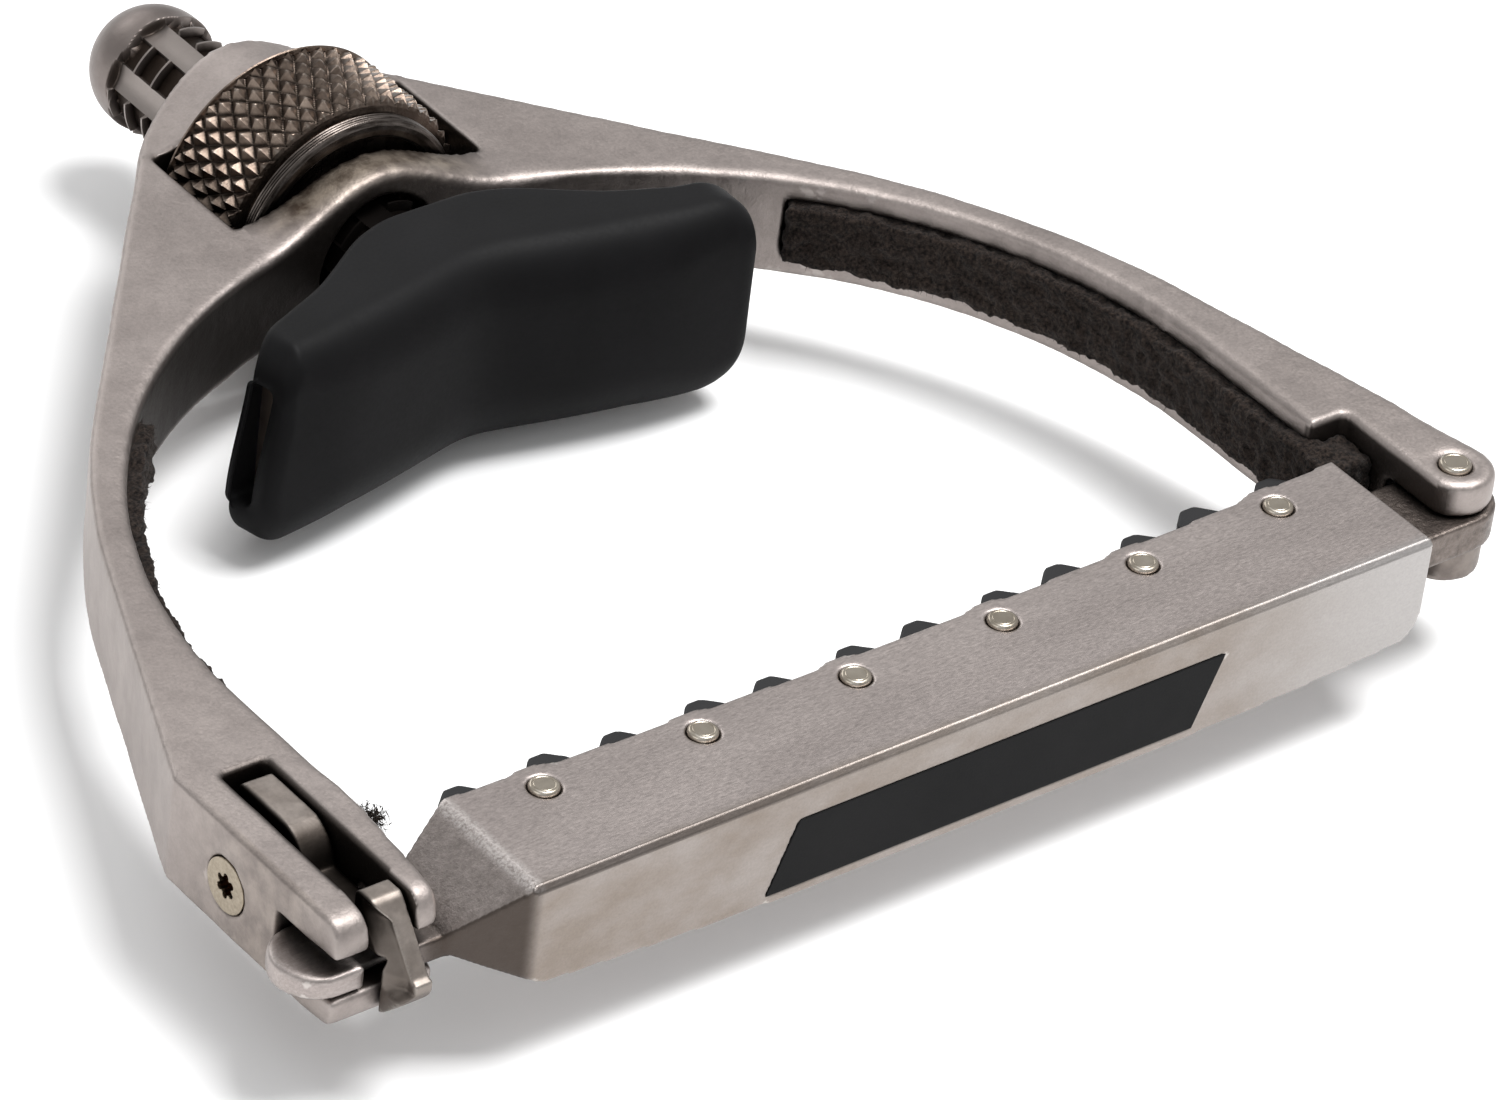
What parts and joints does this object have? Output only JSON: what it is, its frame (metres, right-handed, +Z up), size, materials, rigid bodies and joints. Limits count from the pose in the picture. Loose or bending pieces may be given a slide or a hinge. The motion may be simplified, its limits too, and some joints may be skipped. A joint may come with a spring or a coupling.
{
  "type": "guitar capo",
  "caption": "Lever-latched guitar capo: U-shaped steel yoke, hinged string bar with rubber string pads, and a knurled nut that draws a rubber-sleeved saddle on a coarse screw.",
  "frame": {"origin": "middle of the object's box in X and Y, at the nut's lowest line, lying flat", "axes": "+X along the string bar towards the hinge, +Y from the bar to the screw's domed end, +Z up"},
  "size_m": [0.0672, 0.0656, 0.0136],
  "materials": {
    "cast_steel": "satin, tumbled casting",
    "bar_steel": "fine random brushed grain",
    "latch_steel": "satin",
    "plate_steel": "plain sheet",
    "spring_steel": "bright wire",
    "nickel_pin": "polished, warm",
    "gunmetal": "dark oiled steel, knurled or threaded",
    "black_enamel": "matte infill",
    "felt": "dense fibre, dark brown",
    "sleeve_rubber": "matte",
    "pad_rubber": "matte"
  },
  "bodies": {
    "frame": {"yoke": "cast_steel", "felt_left": "felt", "felt_right": "felt", "hinge_pin": "nickel_pin", "latch_pivot_screw": "nickel_pin", "latch_spring": "spring_steel"},
    "bar": {"string_bar": "bar_steel", "bar_inlay": "black_enamel", "string_pad_1": "pad_rubber", "string_pad_2": "pad_rubber", "string_pad_3": "pad_rubber", "string_pad_4": "pad_rubber", "string_pad_5": "pad_rubber", "string_pad_6": "pad_rubber", "pad_pin_1": "nickel_pin", "pad_pin_2": "nickel_pin", "pad_pin_3": "nickel_pin", "pad_pin_4": "nickel_pin", "pad_pin_5": "nickel_pin", "pad_pin_6": "nickel_pin"},
    "latch": {"latch_lever": "latch_steel"},
    "nut": {"thumb_nut": "gunmetal"},
    "clamp": {"clamp_screw": "gunmetal", "pad_plate": "plate_steel", "pad_rivet": "nickel_pin", "pad_sleeve": "sleeve_rubber"}
  },
  "joints": [
    {"name": "bar_swing", "type": "hinge", "parent": "frame", "child": "bar", "pos_m": [0.03145, -0.02888, 0.0068], "axis": [0, 0, 1], "range_deg": [0, 120]},
    {"name": "latch_pivot", "type": "hinge", "parent": "frame", "child": "latch", "pos_m": [-0.02915, -0.02328, 0.00655], "axis": [-1, 0, 0], "range_deg": [0, 12], "stiffness_Nm_per_rad": 0.001, "springref_deg": -17.19, "deforming": ["latch_spring"]},
    {"name": "nut_spin", "type": "hinge", "parent": "frame", "child": "nut", "pos_m": [0.0007, 0.01702, 0.0068], "axis": [0, 1, 0], "range_deg": [-610, 2050]},
    {"name": "saddle_slide", "type": "slide", "parent": "frame", "child": "clamp", "axis": [0, -1, 0], "range_m": [-0.0024, 0.008]}
  ],
  "couplings": [
    {"joint": "saddle_slide", "follows": "nut_spin", "m_per_rad": 0.00022282}
  ]
}
